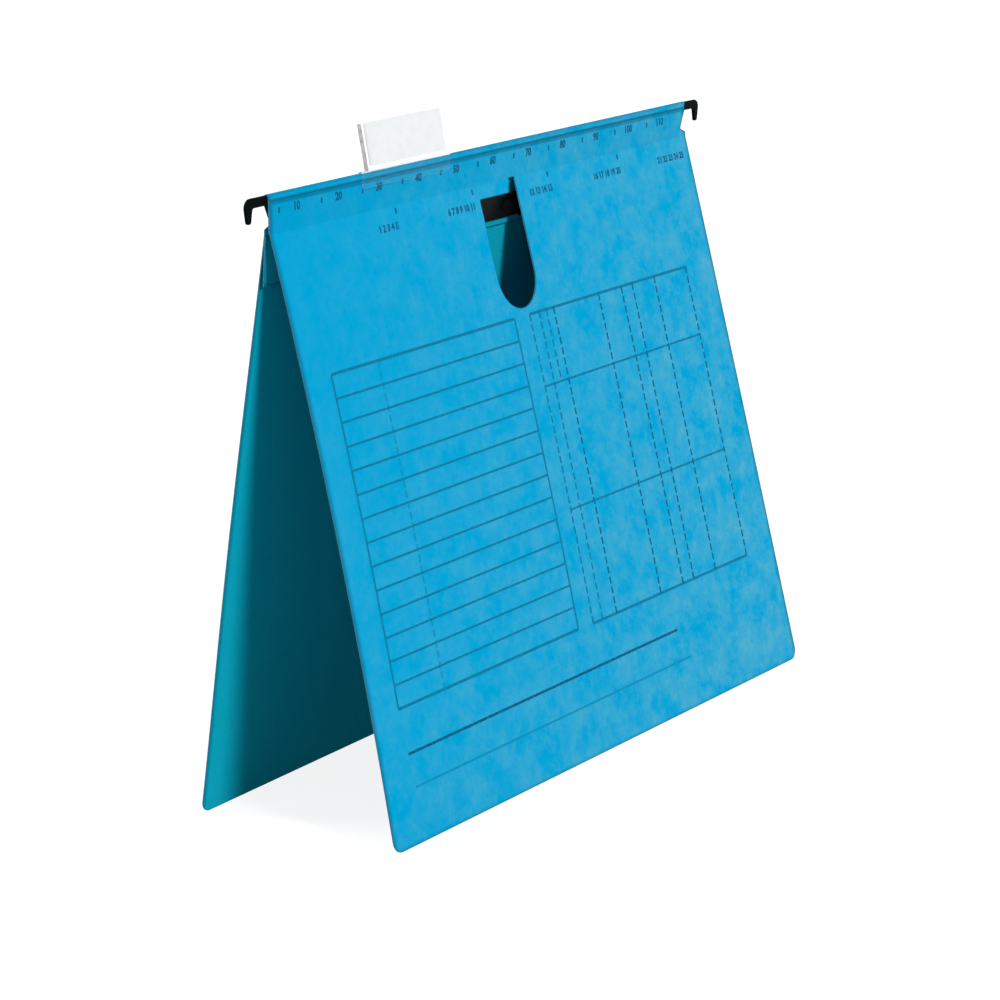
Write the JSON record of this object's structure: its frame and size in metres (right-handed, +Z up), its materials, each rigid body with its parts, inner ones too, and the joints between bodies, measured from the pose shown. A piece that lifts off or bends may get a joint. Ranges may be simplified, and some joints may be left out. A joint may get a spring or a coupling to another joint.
{
  "type": "hanging file folder",
  "caption": "Board suspension binder standing open like a tent, with hooked rail ends, a thumb cut-out in the front cover, a filing flap with a prong fastener and a clear index tab.",
  "frame": {"origin": "on the floor under the middle of the open binder's box", "axes": "+X along the rail to the right as seen from the front, +Y from the front cover to the back cover, +Z up"},
  "size_m": [0.3452, 0.0962, 0.27],
  "materials": {
    "board": "matte",
    "rail_steel": "satin",
    "hook_plastic": "satin",
    "fastener_plastic": "satin",
    "clear_plastic": "gloss",
    "label_card": "matte"
  },
  "bodies": {
    "rail_assembly": {"suspension_rail": "rail_steel", "left_hook": "hook_plastic", "right_hook": "hook_plastic", "rail_sleeve": "board", "front_margin": "board"},
    "front_cover": {"front_leaf": "board"},
    "back_cover": {"back_leaf": "board", "filing_flap": "board", "fastener_base": "fastener_plastic", "compressor_bar": "fastener_plastic"},
    "left_lock": {"left_slider": "fastener_plastic"},
    "right_lock": {"right_slider": "fastener_plastic"},
    "tab": {"tab_holder": "clear_plastic"},
    "label": {"tab_label": "label_card"}
  },
  "joints": [
    {"name": "front_hinge", "type": "hinge", "parent": "rail_assembly", "child": "front_cover", "pos_m": [0, 0.0096, 0.23483], "axis": [-1, 0, 0], "range_deg": [-12.3, 150]},
    {"name": "back_hinge", "type": "hinge", "parent": "rail_assembly", "child": "back_cover", "pos_m": [0, 0.01255, 0.23483], "axis": [1, 0, 0], "range_deg": [-4.8, 150]},
    {"name": "left_lock_slide", "type": "slide", "parent": "back_cover", "child": "left_lock", "axis": [1, 0, 0], "range_m": [-0.008, 0.0215]},
    {"name": "right_lock_slide", "type": "slide", "parent": "back_cover", "child": "right_lock", "axis": [1, 0, 0], "range_m": [-0.0215, 0.008]},
    {"name": "tab_slide", "type": "slide", "parent": "rail_assembly", "child": "tab", "axis": [1, 0, 0], "range_m": [-0.058, 0.192]},
    {"name": "label_slide", "type": "slide", "parent": "tab", "child": "label", "axis": [1, 0, 0], "range_m": [0, 0.056]}
  ]
}
